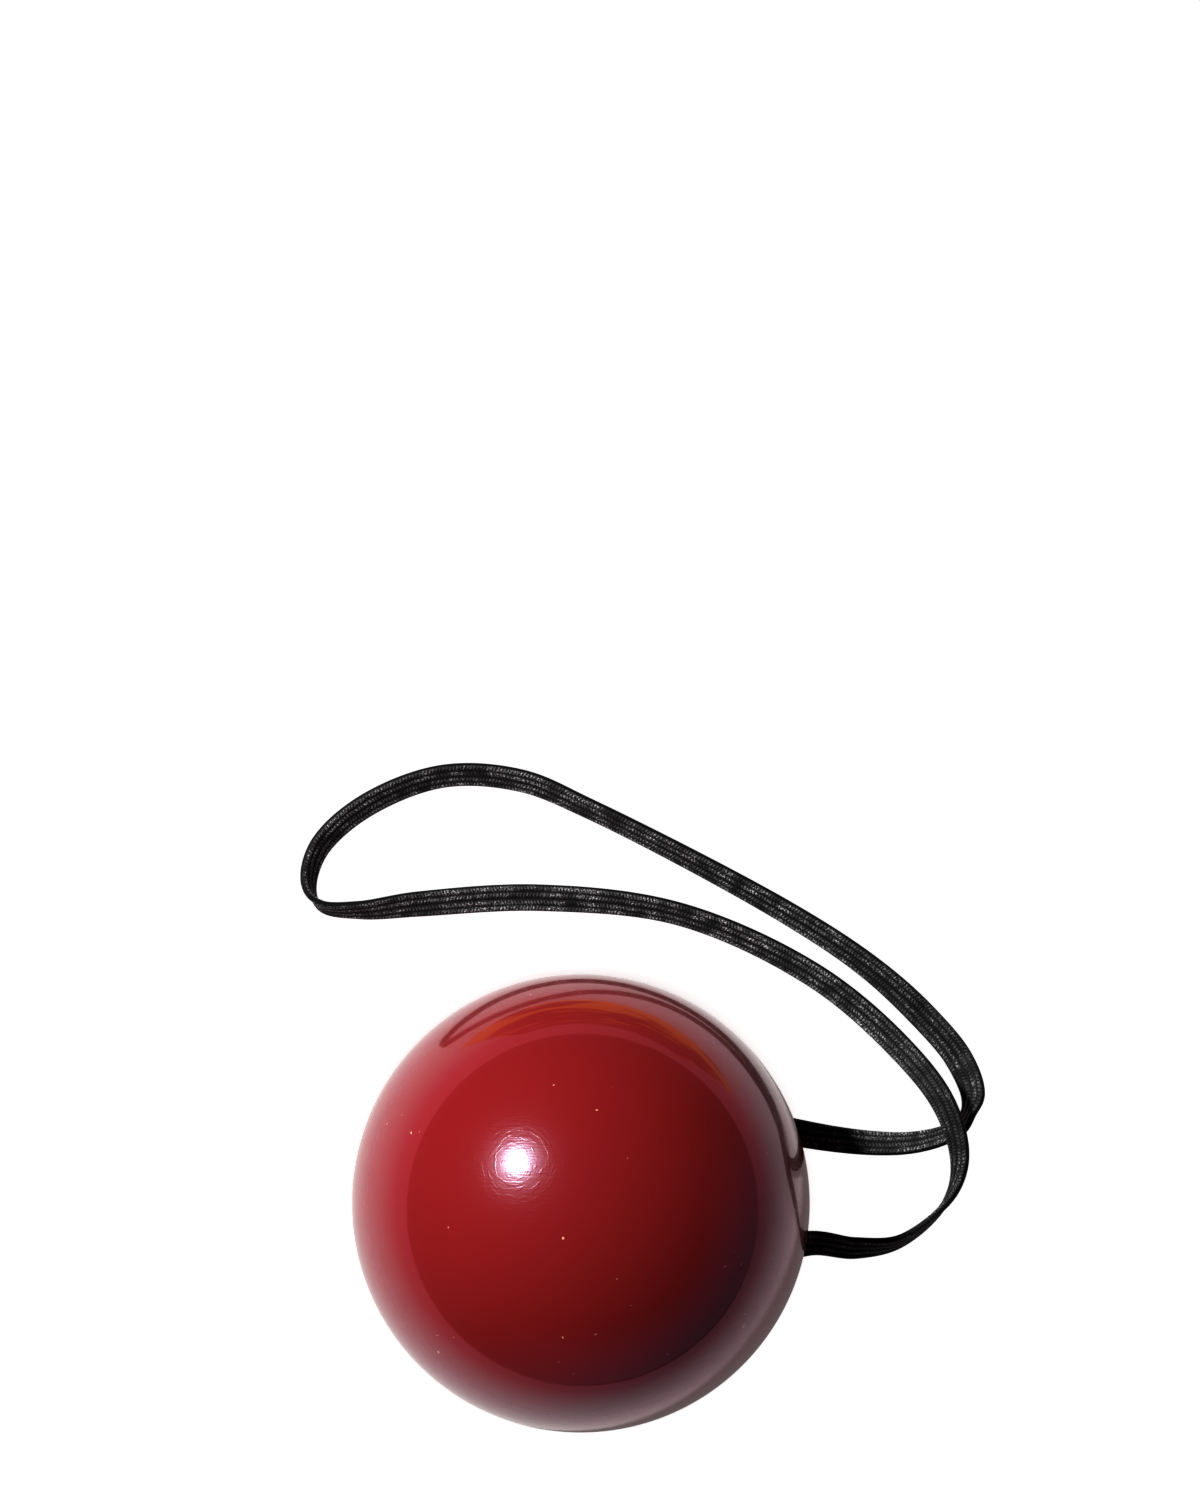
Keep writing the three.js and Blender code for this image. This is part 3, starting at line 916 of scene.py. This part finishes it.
def add_floor():
    """The floor that the camera sees, below it the table top that the ball mirrors, and what gives the ball
    the light that a white table throws back."""
    seen = disc("floor", (0, 0), FLOOR_R, FLOOR_Z)
    seen.data.materials.append(emissive("floor", grey(FLOOR_MATT), shaded_under, True))
    seen.visible_glossy = False
    seen.visible_diffuse = False
    seen.visible_shadow = False
    mirrored = disc("table_top", TABLE_CENTRE, TABLE_R, TABLE_Z)
    look = emissive("table_top", far_to_near(*TABLE_MATT), far_to_near(*TABLE_GLOW))
    mirrored.data.materials.append(look)
    only_mirrored(mirrored)
    low, high, z = WARM_LOW, WARM_HIGH, WARM_Z
    corners = [(low[0], low[1], z), (high[0], low[1], z), (high[0], high[1], z), (low[0], high[1], z)]
    warm = mesh_object("warm_reflector", corners, [(0, 1, 2, 3)])
    warm.data.materials.append(emissive("warm_reflector", grey(0), warm_glow))
    only_mirrored(warm)
    turns = np.linspace(*WALL_TURNS, WALL_POINTS)
    ring = [(WALL_R * math.cos(t), WALL_R * math.sin(t)) for t in turns]
    wall = mesh_object(
        "far_wall",
        [(x, y, z) for z in (WALL_LOW, WALL_HIGH) for x, y in ring],
        grid_faces(2, len(ring), closed_columns=False),
    )
    wall.data.materials.append(emissive("far_wall", grey(0), wall_glow))
    only_mirrored(wall)
    bounce = disc("bounce", (0, 0), FLOOR_R, BOUNCE_Z)
    bounce.data.materials.append(emissive("bounce", grey(0), grey(BOUNCE)))
    bounce.visible_camera = False
    bounce.visible_glossy = False
    bounce.visible_shadow = False
    return seen


def add_soft_light():
    """A large soft light straight above."""
    data = bpy.data.lights.new("soft", "AREA")
    data.shape = "SQUARE"
    data.size = SOFT_SIZE
    data.energy = SOFT_POWER
    light = bpy.data.objects.new("soft", data)
    bpy.context.scene.collection.objects.link(light)
    light.location = (0, 0, SOFT_HEIGHT)
    light.visible_camera = False
    return light


def add_under_light():
    """A soft light below the floor, which stands for what a pale table throws up into the open back."""
    data = bpy.data.lights.new("under", "AREA")
    data.shape = "DISK"
    data.size = UNDER_SIZE
    data.energy = UNDER_POWER
    light = bpy.data.objects.new("under", data)
    bpy.context.scene.collection.objects.link(light)
    light.location = (0, 0, -UNDER_DEPTH)
    light.rotation_euler = (math.pi, 0, 0)
    light.visible_camera = False
    light.visible_glossy = False
    return light


def share_lights(floor, key, under, soft):
    """The soft light falls on the floor that the camera sees, and the others on all else, so that no
    hard shadow shows."""
    floor_only = bpy.data.collections.new("lit_by_soft")
    floor_only.objects.link(floor)
    soft.light_linking.receiver_collection = floor_only
    rest = bpy.data.collections.new("lit_by_key")
    for thing in bpy.context.scene.objects:
        if thing.type == "MESH" and thing != floor:
            rest.objects.link(thing)
    key.light_linking.receiver_collection = rest
    under.light_linking.receiver_collection = rest


def set_view():
    scene = bpy.context.scene
    scene.view_settings.view_transform = "Standard"
    scene.view_settings.look = "None"
    scene.view_settings.gamma = GAMMA


add_camera()
elastic = black_elastic()
knots = [add_knot(number, elastic) for number in (1, 2)]
add_strap(elastic)
add_ball(red_plastic())
key = add_key_light()
add_world()
floor = add_floor()
share_lights(floor, key, add_under_light(), add_soft_light())
set_view()
